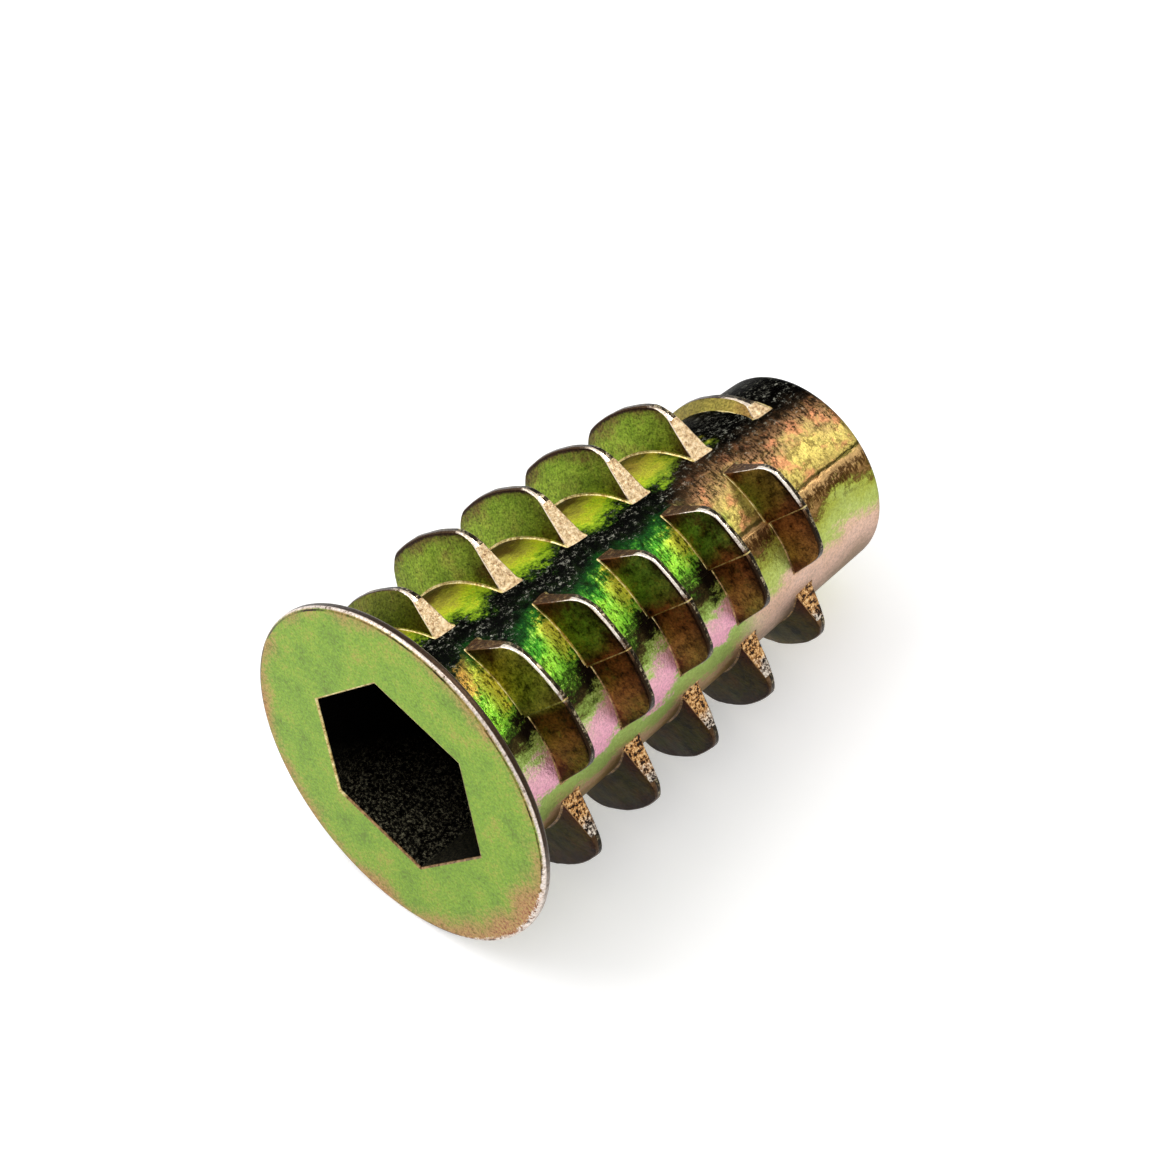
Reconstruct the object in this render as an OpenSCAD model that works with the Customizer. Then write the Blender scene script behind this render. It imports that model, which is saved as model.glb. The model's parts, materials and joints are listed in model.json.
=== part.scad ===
// Flanged wood insert with a hexagon drive: a one-piece zinc die casting. A coarse knife-edged
// thread outside grips the wood, and a bolt thread inside takes the bolt. The casting has two
// dies, so the outer thread is broken into four rows of short fins with bare strips between them.
//
// The insert is drawn along its own axis, with the flange's front face at zero and the tip at
// its length, and the parting line on the side that faces +X. It is then laid down as it comes to
// rest: on the rim of the flange and on the two fin corners beside one bare strip.

/* [Overall] */
// Length from the flange's front face to the tip
length = 25; // [20:0.5:32]

/* [Flange] */
// Diameter of the flange
flange_d = 15.6; // [14.6:0.1:18]
// Thickness of the flange
flange_t = 0.5; // [0.45:0.05:1.2]
// Rounding of the flange's two rim edges
flange_edge_r = 0.18; // [0.05:0.01:0.2]
// Fillet between the flange's back face and the core
flange_fillet_r = 0.4; // [0.2:0.05:0.6]

/* [Core] */
// Diameter of the core, measured at the flange's front face
core_d_flange = 10.75; // [10.4:0.05:11.5]
// Diameter of the core, measured at the tip
core_d_tip = 8.9; // [8.7:0.05:10.2]
// Rounding of the tip's outer edge
tip_edge_r = 0.6; // [0.2:0.05:0.7]

/* [Hexagon drive] */
// Size of the hexagon socket across its flats
hex_af = 8; // [7.5:0.1:8.2]
// Depth of the hexagon socket
hex_depth = 8; // [5:0.5:9]

/* [Bolt thread] */
// Bore of the bolt thread, at the crests of its turns
bolt_bore_d = 6.8; // [6:0.1:7.2]
// Length of the cone that leads from the socket into the bolt thread
bolt_lead_l = 0.7; // [0.3:0.1:1.5]

/* [Outer thread] */
// Rise of the outer thread in one turn
pitch = 3.75; // [3:0.05:4.5]
// Distance from the flange's back face to the first full fin on the parting line
first_fin = 3.5; // [3:0.1:5]
// Outside diameter of the thread, measured at the flange's front face
crest_d_flange = 15.2; // [14:0.1:15.4]
// Outside diameter of the thread, measured at the tip
crest_d_tip = 12.5; // [11:0.1:13.5]
// Distance from the flange's back face over which the fins grow to full height
run_in_l = 3.7; // [1:0.1:5]
// Radius that the crest loses in each millimetre towards the flange there
run_in_drop = 0.66; // [0.3:0.02:0.8]
// Distance from the tip over which the fins die away
run_out_l = 6.1; // [3:0.1:8]
// Radius that the crest loses in each millimetre towards the tip there
run_out_drop = 0.48; // [0.3:0.02:0.8]
// Height below which no fin is cast
least_fin_h = 0.4; // [0.3:0.05:0.8]

/* [Fin section] */
// Reach of the fin's root towards the flange, from the thread's line
root_fore = 0.58; // [0.4:0.02:0.8]
// Reach of the fin's root towards the tip
root_aft = 0.42; // [0.3:0.02:0.7]
// Reach of the fin's crest towards the flange
crest_fore = 0.1; // [0.05:0.01:0.2]
// Reach of the fin's crest towards the tip
crest_aft = 0.17; // [0.05:0.01:0.25]

/* [Fin rows] */
// Width of the two rows that the parting line divides, at the flange's front face
split_row_w_flange = 6.9; // [6:0.1:7]
// Width of those two rows at the tip
split_row_w_tip = 4.6; // [4:0.1:6]
// Width of the two whole rows, at the flange's front face
whole_row_w_flange = 6.4; // [5.5:0.1:7]
// Width of the whole rows at the tip
whole_row_w_tip = 5.9; // [4.5:0.1:6]
// Slope of a fin's end faces, which narrows each fin towards its crest
end_draft = 12; // [0:1:18]
// Rounding of the corners at the ends of a fin's crest
fin_corner_r = 0.6; // [0.1:0.05:1]

/* [Hidden] */

ROW_STEP = 90;        // the fin rows stand a quarter turn apart
SIDES = 96;           // roundness of the turned faces
CREST_STEPS = 4;      // facets along half a fin's crest, between its rounded corners
CORNER_STEPS = 3;     // facets of a rounded corner
CLEAR = 0.1;          // how far a cutter runs past the face it cuts
fin_sunk = 0.3;       // how deep a fin's foot is sunk into the core
resting_strip = 135;  // the bare strip that faces down, as an angle from the parting line

flange_r = flange_d / 2;
crest_line_z = flange_t + first_fin;
run_in_z = flange_t + run_in_l;
run_out_z = length - run_out_l;
fin_rise = pitch * ROW_STEP / 360;

// --- Outer thread ---

// Radius of the tapered core, and of the crest of the thread, at a distance along the axis
function core_r(z) = (core_d_flange + (core_d_tip - core_d_flange) * z / length) / 2;
function full_crest_r(z) = (crest_d_flange + (crest_d_tip - crest_d_flange) * z / length) / 2;
function crest_r(z) = full_crest_r(z) - run_in_drop * max(0, run_in_z - z)
    - run_out_drop * max(0, z - run_out_z);

// Distance along the axis that the thread's line has reached at an angle past a fin's middle
function rise(angle) = pitch * angle / 360;
function fin_z(i) = crest_line_z + i * fin_rise;
function fin_h(i) = crest_r(fin_z(i)) - core_r(fin_z(i));

// The fins, counted by quarter turns from the first full one on the parting line. Even fins
// stand on the parting line, which divides them; odd ones are whole.
first_i = ceil((flange_t + flange_fillet_r + root_fore - crest_line_z) / fin_rise);
last_i = floor((length - tip_edge_r - root_aft - crest_line_z) / fin_rise);
FINS = [for (i = [first_i : last_i]) if (fin_h(i) > least_fin_h) i];

function divided(i) = i % 2 == 0;
function row_w(i, z) = divided(i)
    ? split_row_w_flange + (split_row_w_tip - split_row_w_flange) * z / length
    : whole_row_w_flange + (whole_row_w_tip - whole_row_w_flange) * z / length;

// Angle from the fin's middle to the point that lies the fraction t across its row
function across(i, t, r) =
    asin(t * (row_w(i, fin_z(i)) / 2 - (r - core_r(fin_z(i))) * tan(end_draft)) / r);

// Each die draws sideways off the divided fins, so the flank that it would catch on is straight
// where the thread's line would slant: at the root facing the flange on one side of the parting
// line, and over the whole flank facing the tip, with the crest, on the other.
function fore_rise(i, angle, half, span) = divided(i) && half < 0 ? rise(-span / 2) : rise(angle);
function aft_rise(i, angle, half, span) = divided(i) && half > 0 ? rise(span / 2) : rise(angle);
function crest_rise(i, angle, half) = divided(i) && half > 0 ? 0 : rise(angle);

// One corner of a fin's section at radius r: angle from the middle, and distance along the axis
function corner(i, r, angle, z) =
    [r * cos(i * ROW_STEP + angle), r * sin(i * ROW_STEP + angle), fin_z(i) + z];

// A fin's corner is rounded as far as the fin is tall enough for it. At each step of the rounding
// this gives the fraction of the row that it has reached, and how much lower the crest is there.
function corner_round(i) = min(fin_corner_r, fin_h(i) * 0.6);
function corner_t(i, angle) =
    1 - corner_round(i) * (1 - sin(angle)) / (row_w(i, fin_z(i)) / 2);
function corner_drop(i, angle) = corner_round(i) * (1 - cos(angle));
function stations(i) = concat(
    [for (j = [0 : CREST_STEPS - 1]) [corner_t(i, 0) * j / CREST_STEPS, 0]],
    [for (j = [0 : CORNER_STEPS])
        let (angle = 90 * j / CORNER_STEPS) [corner_t(i, angle), corner_drop(i, angle)]]);

// The section at the fraction t: foot and crest facing the flange, crest and foot facing the tip
function section(i, t, drop, half) =
    let (span = across(i, 1, core_r(fin_z(i))),
         rough = across(i, t, full_crest_r(fin_z(i))),
         top_r = crest_r(fin_z(i) + rise(rough)) - drop,
         foot_r = core_r(fin_z(i)) - fin_sunk,
         top = across(i, t, top_r),
         foot = across(i, t, foot_r),
         full_h = crest_r(fin_z(i) + rise(rough)) - core_r(fin_z(i)),
         lower = drop / full_h,
         deeper = fin_sunk / full_h,
         fore_slant = root_fore - crest_fore,
         aft_slant = root_aft - crest_aft)
    [corner(i, foot_r, foot, fore_rise(i, foot, half, span) - root_fore - fore_slant * deeper),
     corner(i, top_r, top, crest_rise(i, top, half) - crest_fore - fore_slant * lower),
     corner(i, top_r, top, crest_rise(i, top, half) + crest_aft + aft_slant * lower),
     corner(i, foot_r, foot, aft_rise(i, foot, half, span) + root_aft + aft_slant * deeper)];

// The sections of half a fin, on one side of its middle, in the order of their angles
function half_fin(i, half) =
    let (all = stations(i), last = len(all) - 1)
    [for (j = [0 : last])
        let (s = all[half < 0 ? last - j : j]) section(i, half * s[0], s[1], half)];
function without_first(list) = [for (j = [1 : len(list) - 1]) list[j]];

// A solid through a row of four-cornered sections
module strip(sections) {
    last = len(sections) - 1;
    sides = [for (j = [0 : last - 1], e = [0 : 3])
        let (a = 4 * j + e, b = 4 * j + (e + 1) % 4)
        each [[a, b, b + 4], [a, b + 4, a + 4]]];
    ends = [[2, 1, 0], [3, 2, 0], [4 * last, 4 * last + 1, 4 * last + 2],
            [4 * last, 4 * last + 2, 4 * last + 3]];
    polyhedron(points = [for (s = sections) each s], faces = concat(sides, ends));
}

// A whole fin is one strip, and a divided fin is two that meet on the parting line
module fin(i) {
    if (divided(i)) {
        for (half = [-1, 1])
            strip(half_fin(i, half));
    } else {
        strip(concat(half_fin(i, -1), without_first(half_fin(i, 1))));
    }
}

// --- Turned body ---

// Half of the flange's section: a thin disc with both rim edges rounded
module flange_section() {
    translate([0, flange_edge_r])
        square([flange_r, flange_t - 2 * flange_edge_r]);
    square([flange_r - flange_edge_r, flange_t]);
    for (z = [flange_edge_r, flange_t - flange_edge_r])
        translate([flange_r - flange_edge_r, z])
            circle(flange_edge_r, $fn = SIDES);
}

// Half of the core's section: a slow taper that ends in a rounded edge
module core_section() {
    shoulder_z = length - tip_edge_r;
    tip_c = core_r(shoulder_z) - tip_edge_r;
    polygon([[0, 0], [core_r(0), 0], [core_r(shoulder_z), shoulder_z], [tip_c, shoulder_z],
             [tip_c, length], [0, length]]);
    translate([tip_c, shoulder_z])
        circle(tip_edge_r, $fn = SIDES);
}

module fillet_section() {
    difference() {
        translate([core_r(flange_t) - flange_fillet_r, flange_t - CLEAR])
            square([2 * flange_fillet_r, flange_fillet_r + CLEAR]);
        translate([core_r(flange_t) + flange_fillet_r, flange_t + flange_fillet_r])
            circle(flange_fillet_r, $fn = SIDES);
    }
}

module turned_body() {
    rotate_extrude($fn = SIDES) {
        flange_section();
        core_section();
        fillet_section();
    }
}

// --- Bores ---

module hex_socket() {
    translate([0, 0, -CLEAR])
        cylinder(d = hex_af / cos(30), h = hex_depth + CLEAR, $fn = 6);
}

module bolt_bore() {
    translate([0, 0, hex_depth - CLEAR])
        cylinder(d = bolt_bore_d, h = length - hex_depth + 2 * CLEAR, $fn = SIDES);
    translate([0, 0, hex_depth])
        cylinder(d1 = hex_af, d2 = bolt_bore_d, h = bolt_lead_l, $fn = SIDES);
}

module upright_insert() {
    difference() {
        union() {
            turned_body();
            for (i = FINS)
                fin(i);
        }
        hex_socket();
        bolt_bore();
    }
}

// --- Resting place ---

// How far a point reaches towards the resting strip's side of the axis
function strip_reach(p) = p[0] * cos(resting_strip) + p[1] * sin(resting_strip);

// Slope of the axis at which both the flange's rim and the point p touch a floor
function slope_to(p) =
    let (a = flange_r - flange_edge_r - strip_reach(p), b = p[2] - flange_t + flange_edge_r)
    atan2(a, b) + asin(flange_edge_r / norm([a, b]));

// The crest's points that lie beside the resting strip, round the corners of its fins
resting_corners = [for (i = FINS, near = [1, -1])
    if ((i * ROW_STEP + near * ROW_STEP / 2 - resting_strip) % 360 == 0)
        for (s = half_fin(i, near), edge = [1, 2]) s[edge]];
rest_slope = min([for (p = resting_corners) slope_to(p)]);

rim_c = flange_r - flange_edge_r;
rest_height = rim_c * cos(rest_slope) + (flange_t - flange_edge_r) * sin(rest_slope)
    + flange_edge_r;
back_x = -rim_c * sin(rest_slope) + flange_edge_r * cos(rest_slope) - flange_edge_r;
front_x = (core_r(length - tip_edge_r) - tip_edge_r) * sin(rest_slope)
    + (length - tip_edge_r) * cos(rest_slope) + tip_edge_r;

module insert_body() {
    color("darkkhaki")
        translate([-(back_x + front_x) / 2, 0, rest_height])
            rotate([0, 90 + rest_slope, 0])
                rotate([0, 0, -resting_strip])
                    upright_insert();
}

insert_body();
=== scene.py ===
# %% [markdown]
# # A flanged insert for wood
#
# The object is one zinc die casting, about an inch long: a thin flange, a slowly tapering core
# and four rows of short fins that together make a coarse wood thread. A hexagon socket opens in
# the flange and a bolt thread runs through the core. The whole casting is plated, and the plating
# shimmers from green to gold and pink.
#
# We start by loading the imported model. It is the measure for everything that follows: it says
# where the insert lies.

# %% Load the imported model
import json
import math
import random
from types import SimpleNamespace

import bmesh
import bpy
from mathutils import Matrix, Vector


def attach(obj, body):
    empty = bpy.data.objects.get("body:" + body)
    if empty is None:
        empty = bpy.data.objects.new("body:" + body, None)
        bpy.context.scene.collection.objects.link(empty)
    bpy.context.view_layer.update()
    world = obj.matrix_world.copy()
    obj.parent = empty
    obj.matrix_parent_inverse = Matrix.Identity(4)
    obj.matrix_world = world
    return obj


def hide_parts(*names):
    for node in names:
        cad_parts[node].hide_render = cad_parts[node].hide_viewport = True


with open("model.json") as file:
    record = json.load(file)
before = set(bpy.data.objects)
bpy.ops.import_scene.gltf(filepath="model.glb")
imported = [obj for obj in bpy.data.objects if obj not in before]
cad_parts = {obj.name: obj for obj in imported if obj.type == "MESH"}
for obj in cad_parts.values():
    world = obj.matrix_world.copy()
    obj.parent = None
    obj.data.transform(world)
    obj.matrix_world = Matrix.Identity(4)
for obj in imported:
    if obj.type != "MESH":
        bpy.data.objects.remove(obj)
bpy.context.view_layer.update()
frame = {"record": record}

# %% [markdown]
# ## Standing up to be modelled, lying down to be shown
#
# A turned and threaded piece is easiest to build upright, on its own axis, and in millimetres.
# The record tells where the centre of the socket's mouth is and which way it faces, so one matrix
# lays a finished piece down: scale to metres, roll the strip between two fin rows to the bottom,
# tip the axis over, and move it to its place. Applied to the mesh, it leaves the object itself at
# the origin, unturned and unscaled.

# %% The insert's own axes
mounts = {m["name"]: m for m in frame["record"]["mounts"]}
drive = mounts["hex_drive"]
slope = math.atan2(drive["axis"][2], -drive["axis"][0])
RESTING_STRIP = math.radians(135)

turned = Matrix.Rotation(math.pi / 2 + slope, 4, "Y") @ Matrix.Rotation(-RESTING_STRIP, 4, "Z")
lay_down = Matrix.Translation(drive["pos_m"]) @ turned @ Matrix.Scale(0.001, 4)
print(f"The axis slopes {math.degrees(slope):.2f} degrees down towards the tip")

# %% [markdown]
# ## Sizes
#
# These are the casting's sizes in millimetres. Distances along the axis start at the flange's
# front face, angles at the parting line of the two dies. The core and the thread both taper, so
# their radii are small functions of the place along the axis.

# %% Sizes of the casting, in millimetres
LENGTH = 25.0
FLANGE_R, FLANGE_T, FLANGE_EDGE_R, FLANGE_FILLET_R = 7.8, 0.5, 0.18, 0.4
CORE_R_FLANGE, CORE_R_TIP, TIP_EDGE_R = 5.375, 4.45, 0.6
HEX_AF, HEX_DEPTH, HEX_EDGE_R = 8.0, 8.0, 0.09
HEX_CORNER_R = HEX_AF / 2 / math.cos(math.radians(30))
BORE_R, LEAD_L = 3.4, 0.7
BOLT_R, BOLT_PITCH = 4.0, 1.25
PITCH, FIRST_FIN_Z = 3.75, 4.0
CREST_R_FLANGE, CREST_R_TIP = 7.6, 6.25
RUN_IN_Z, RUN_IN_DROP, RUN_OUT_Z, RUN_OUT_DROP = 4.2, 0.66, 18.9, 0.48
LEAST_FIN_H = 0.4


def core_r(z):
    return CORE_R_FLANGE + (CORE_R_TIP - CORE_R_FLANGE) * z / LENGTH


def crest_r(z):
    full = CREST_R_FLANGE + (CREST_R_TIP - CREST_R_FLANGE) * z / LENGTH
    return full - RUN_IN_DROP * max(0, RUN_IN_Z - z) - RUN_OUT_DROP * max(0, z - RUN_OUT_Z)


def fin_z(i):
    return FIRST_FIN_Z + i * PITCH / 4


print("Core:", core_r(0), "to", core_r(LENGTH), "mm; thread:", round(crest_r(RUN_IN_Z), 2), "mm")

# %% [markdown]
# ## A few helpers
#
# Blender's operators act on whatever is selected, so each helper leaves nothing to chance:
# `begin` empties the selection before a new primitive arrives, `pick` selects the faces, edges or
# corners that lie where we say, and `slice_at` takes the whole mesh before it cuts.

# %% Helpers for working with operators
def begin():
    if bpy.context.mode != "OBJECT":
        bpy.ops.object.mode_set(mode="OBJECT")
    bpy.ops.object.select_all(action="DESELECT")


def focus(piece):
    begin()
    piece.select_set(True)
    bpy.context.view_layer.objects.active = piece


def edit(piece, kind="FACE"):
    focus(piece)
    bpy.ops.object.mode_set(mode="EDIT")
    bpy.ops.mesh.select_mode(type=kind)


def done():
    bpy.ops.object.mode_set(mode="OBJECT")


def middle(item):
    """The middle of a corner, an edge or a face."""
    if isinstance(item, bmesh.types.BMVert):
        return item.co
    if isinstance(item, bmesh.types.BMEdge):
        return (item.verts[0].co + item.verts[1].co) / 2
    return item.calc_center_median()


def pick(piece, kind, wanted):
    """In edit mode, selects the verts, edges or faces that wanted() says yes to."""
    bpy.ops.mesh.select_all(action="DESELECT")
    mesh = bmesh.from_edit_mesh(piece.data)
    chosen = [item for item in getattr(mesh, kind) if wanted(item)]
    for item in chosen:
        item.select_set(True)
    bmesh.update_edit_mesh(piece.data)
    return len(chosen)


def slice_at(place, facing, **more):
    """In edit mode, cuts the whole mesh along the plane through a place."""
    bpy.ops.mesh.select_all(action="SELECT")
    bpy.ops.mesh.bisect(plane_co=place, plane_no=facing, **more)


def cut_away(piece, tool):
    """Subtracts the tool from the piece, and removes the tool."""
    cut = piece.modifiers.new("Cut", "BOOLEAN")
    cut.object, cut.operation, cut.solver = tool, "DIFFERENCE", "EXACT"
    focus(piece)
    bpy.ops.object.modifier_apply(modifier=cut.name)
    bpy.data.objects.remove(tool)


# %% [markdown]
# ## The finishes by name
#
# One plating covers the whole casting, yet it looks different on each kind of surface: even on
# the flat flange, streaked on the core, brownish on the fins' flanks, grainy on their ends. So
# each kind of surface gets a material of its own. Here they are only named, so that the faces can
# be given to them while they are easy to tell apart. They are filled in later.

# %% Name the finishes
FINISHES = ("core_skin", "flange_skin", "socket_skin", "bore_skin", "flank_skin", "end_skin",
            "crest_skin", "edge_skin", "root_skin")
skins = {name: bpy.data.materials.new(name) for name in FINISHES}


def dress(piece, finish_of):
    """Gives each face the finish that finish_of(face) names."""
    piece.data.materials.clear()
    for skin in skins.values():
        piece.data.materials.append(skin)
    for face in piece.data.polygons:
        face.material_index = FINISHES.index(finish_of(face))
    used = [face.material_index for face in piece.data.polygons]
    print(piece.name, {FINISHES[n]: used.count(n) for n in sorted(set(used))})


# %% [markdown]
# ## Flange and core
#
# The turned body could be a profile spun round the axis. Here it grows from one disc instead,
# which shows how the two are joined: the disc is the flange, an inset on its top face draws the
# core's circle, and extruding that circle raises the core, drawn in a little to taper it. Then
# the rim, the corner under the flange and the tip's edge each get their own rounding.

# %% Raise the core from the flange
begin()
bpy.ops.mesh.primitive_cylinder_add(vertices=192, radius=FLANGE_R, depth=FLANGE_T,
                                    location=(0, 0, FLANGE_T / 2))
body = bpy.context.object
bpy.ops.object.transform_apply()
body.name = "insert"

edit(body)
pick(body, "faces", lambda f: f.normal.z > 0.9)
bpy.ops.mesh.inset(thickness=FLANGE_R - core_r(FLANGE_T))
bpy.ops.mesh.extrude_region_move(
    TRANSFORM_OT_translate={"value": (0, 0, LENGTH - FLANGE_T)})
taper = core_r(LENGTH) / core_r(FLANGE_T)
bpy.ops.transform.resize(value=(taper, taper, 1), center_override=(0, 0, LENGTH))


def ring(z, radius):
    """Says yes to the edges of one ring round the axis."""
    def wanted(e):
        return all(abs(v.co.z - z) < 1e-3 and abs(v.co.xy.length - radius) < 0.02
                   for v in e.verts)
    return wanted


bpy.ops.mesh.select_mode(type="EDGE")
print("Rim edges:", pick(body, "edges", lambda e: ring(0, FLANGE_R)(e)
                         or ring(FLANGE_T, FLANGE_R)(e)))
bpy.ops.mesh.bevel(offset=FLANGE_EDGE_R, segments=5, affect="EDGES")
pick(body, "edges", ring(FLANGE_T, core_r(FLANGE_T)))
bpy.ops.mesh.bevel(offset=FLANGE_FILLET_R, segments=6, affect="EDGES")
pick(body, "edges", ring(LENGTH, core_r(LENGTH)))
bpy.ops.mesh.bevel(offset=TIP_EDGE_R, segments=8, affect="EDGES")
done()
print("Body faces:", len(body.data.polygons))

# %% [markdown]
# ## The hexagon socket
#
# The socket is what the key turns. A six-sided prism is the cutter; it starts with its corners
# on the Y axis, so it is turned by 30 degrees. After the cut the six edges of its mouth are
# bevelled very slightly, because a cast edge is never sharp and this one catches a thin line of
# light.

# %% Cut the socket
CUT_PAST = 1.0
begin()
bpy.ops.mesh.primitive_cylinder_add(vertices=6, radius=HEX_CORNER_R, depth=HEX_DEPTH + CUT_PAST,
                                    location=(0, 0, (HEX_DEPTH - CUT_PAST) / 2),
                                    rotation=(0, 0, math.radians(30)))
cut_away(body, bpy.context.object)

edit(body, "EDGE")
mouth = pick(body, "edges", lambda e: all(
    abs(v.co.z) < 1e-4 and v.co.xy.length < HEX_CORNER_R + 0.1 for v in e.verts))
bpy.ops.mesh.bevel(offset=HEX_EDGE_R, segments=3, affect="EDGES")
done()
print("Edges round the socket's mouth:", mouth)

# %% [markdown]
# ## The bolt thread
#
# A real insert is tapped: a threaded cutter is driven in and leaves its shape. We do the same.
# A drill clears the bore, a cone leads into it, and a flat four-cornered section swept by a Screw
# modifier makes the cutter's ridge. The last turn is drawn in towards the axis, so that the
# groove fades out before it reaches the tip's rounded edge, where the wall is thin. A long coil
# can fool Blender's search for its outside, so its signed volume is looked at: a negative one
# means that the tap is inside out, and would add metal where it should cut.

# %% Drill the bore and cut its thread
begin()
bpy.ops.mesh.primitive_cylinder_add(vertices=96, radius=BORE_R, depth=LENGTH,
                                    location=(0, 0, HEX_DEPTH - 0.1 + LENGTH / 2))
cut_away(body, bpy.context.object)
begin()
bpy.ops.mesh.primitive_cone_add(vertices=96, radius1=HEX_AF / 2 - 0.01, radius2=BORE_R - 0.05,
                                depth=LEAD_L, location=(0, 0, HEX_DEPTH + LEAD_L / 2 - 0.01))
cut_away(body, bpy.context.object)

TURNS, STEPS = 13, 64
TAP_START, TAP_ROOT_R, TAP_CREST_SHARE = 0.35, BORE_R - 0.2, 0.12
FADE_BEFORE_END, FADE_L, FADE_SUNK = 0.9, 0.8, 0.25
tap_middle_r = (BOLT_R + TAP_ROOT_R) / 2
begin()
bpy.ops.mesh.primitive_plane_add(size=1, location=(tap_middle_r, 0, 0),
                                 rotation=(math.pi / 2, 0, 0))
tap = bpy.context.object
bpy.ops.object.transform_apply()
edit(tap, "VERT")
bpy.ops.mesh.delete(type="ONLY_FACE")
pick(tap, "verts", lambda v: v.co.x > tap_middle_r)
bpy.ops.transform.translate(value=(BOLT_R - max(v.co.x for v in tap.data.vertices), 0, 0))
bpy.ops.transform.resize(value=(1, 1, TAP_CREST_SHARE), center_override=(BOLT_R, 0, 0))
pick(tap, "verts", lambda v: abs(v.co.z) > 0.3)
bpy.ops.transform.translate(value=(TAP_ROOT_R - min(v.co.x for v in tap.data.vertices), 0, 0))
done()
sweep = tap.modifiers.new("Thread", "SCREW")
sweep.axis, sweep.angle, sweep.screw_offset = "Z", 2 * math.pi, BOLT_PITCH
sweep.iterations, sweep.steps, sweep.render_steps = TURNS, STEPS, STEPS
focus(tap)
bpy.ops.object.modifier_apply(modifier=sweep.name)
fade_z = TURNS * BOLT_PITCH - FADE_BEFORE_END
for v in tap.data.vertices:
    out = v.co.xy.length
    late = min(max((v.co.z - fade_z) / FADE_L, 0), 1)
    v.co.xy *= (out - (out - BORE_R + FADE_SUNK) * late * (out > BORE_R)) / out
    v.co.z += HEX_DEPTH + TAP_START
edit(tap, "EDGE")
bpy.ops.mesh.select_all(action="DESELECT")
bpy.ops.mesh.select_non_manifold()
bpy.ops.mesh.fill_holes(sides=0)
bpy.ops.mesh.select_all(action="SELECT")
bpy.ops.mesh.normals_make_consistent(inside=False)
if bmesh.from_edit_mesh(tap.data).calc_volume(signed=True) < 0:
    bpy.ops.mesh.flip_normals()
done()
print("Tap faces:", len(tap.data.polygons))
cut_away(body, tap)
print("Body faces with socket, bore and thread:", len(body.data.polygons))


def body_finish(face):
    r, z = face.center.xy.length, face.center.z
    if r < HEX_CORNER_R + 0.4 and 1e-4 < z < HEX_EDGE_R:
        return "root_skin"
    if 0.02 < z < LENGTH - TIP_EDGE_R / 2 and r < min(HEX_CORNER_R + 0.1, core_r(z) - 0.2):
        return "socket_skin" if z < HEX_DEPTH - 0.01 else "bore_skin"
    return "flange_skin" if z < FLANGE_T + 0.01 else "core_skin"


dress(body, body_finish)

# %% [markdown]
# ## One straight fin
#
# Every fin is the same shape, laid round the core at its own place: a wedge with a narrow crest,
# ends that slope inwards so that the casting leaves its die, and rounded corners. So we model it
# once, straight, as a bar: X along the fin, Y up from the core, Z along the insert. The foot
# flares out before it dives into the core, which makes the small fillet at the root.

# %% Model the straight fin
FIN_W, FIN_H = 6.0, 2.1
ROOT_FORE, ROOT_AFT, CREST_FORE, CREST_AFT = 0.58, 0.42, 0.10, 0.17
END_DRAFT, CORNER_R, EDGE_R = math.radians(12), 0.6, 0.06
FOOT_H, FOOT_FLARE, FIN_SUNK = 0.12, 0.09, 0.3
CREST_SPLIT = -0.01

begin()
bpy.ops.mesh.primitive_cube_add(size=1, location=(0, (FIN_H + FOOT_H) / 2,
                                                  (ROOT_AFT - ROOT_FORE) / 2),
                                scale=(FIN_W, FIN_H - FOOT_H, ROOT_FORE + ROOT_AFT))
blank = bpy.context.object
blank.name = "fin"
bpy.ops.object.transform_apply()
edit(blank)
pick(blank, "faces", lambda f: f.normal.y > 0.9)
narrow = 1 - 2 * FIN_H * math.tan(END_DRAFT) / FIN_W
thin = (CREST_FORE + CREST_AFT) / (ROOT_FORE + ROOT_AFT)
bpy.ops.transform.resize(value=(narrow, 1, thin),
                         center_override=(0, FIN_H, (ROOT_AFT - ROOT_FORE) / 2))
bpy.ops.transform.translate(value=(0, 0, (CREST_AFT - CREST_FORE - ROOT_AFT + ROOT_FORE) / 2))

bpy.ops.mesh.select_mode(type="EDGE")
pick(blank, "edges", lambda e: middle(e).y > FIN_H - 0.01 and abs(middle(e).x) > 2)
bpy.ops.mesh.bevel(offset=CORNER_R, segments=7, affect="EDGES")
outline = pick(blank, "edges", lambda e: len({round(f.normal.z) for f in e.link_faces}) > 1
               and middle(e).y > FOOT_H + 0.01)
bpy.ops.mesh.bevel(offset=EDGE_R, segments=3, affect="EDGES")

bpy.ops.mesh.select_mode(type="FACE")
pick(blank, "faces", lambda f: f.normal.y < -0.9)
for down, flare in ((-0.07, 0.02), (-0.05, FOOT_FLARE - 0.02), (-FIN_SUNK, 0)):
    bpy.ops.mesh.extrude_region_move(TRANSFORM_OT_translate={"value": (0, down, 0)})
    bpy.ops.transform.resize(value=(1 + 2 * flare / FIN_W, 1, 1 + 2 * flare),
                             center_override=(0, 0, (ROOT_AFT - ROOT_FORE) / 2))
slice_at((0, 0, CREST_SPLIT), (0, 0, 1))
done()
print("Edges rounded round the fin:", outline)


def fin_finish(face):
    """Flanks face along the insert; round them run a painted highlight on the crest and, behind it,
    a painted shade on the edge.
    """
    if abs(face.normal.x) > 0.9 and FOOT_H < face.center.y < FIN_H - CORNER_R:
        return "end_skin"
    if face.center.y < FOOT_H:
        return "end_skin" if abs(face.normal.x) > 0.5 else "root_skin"
    if abs(face.normal.z) > 0.9:
        return "flank_skin"
    return "edge_skin" if face.center.z > CREST_SPLIT else "crest_skin"


dress(blank, fin_finish)

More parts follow.
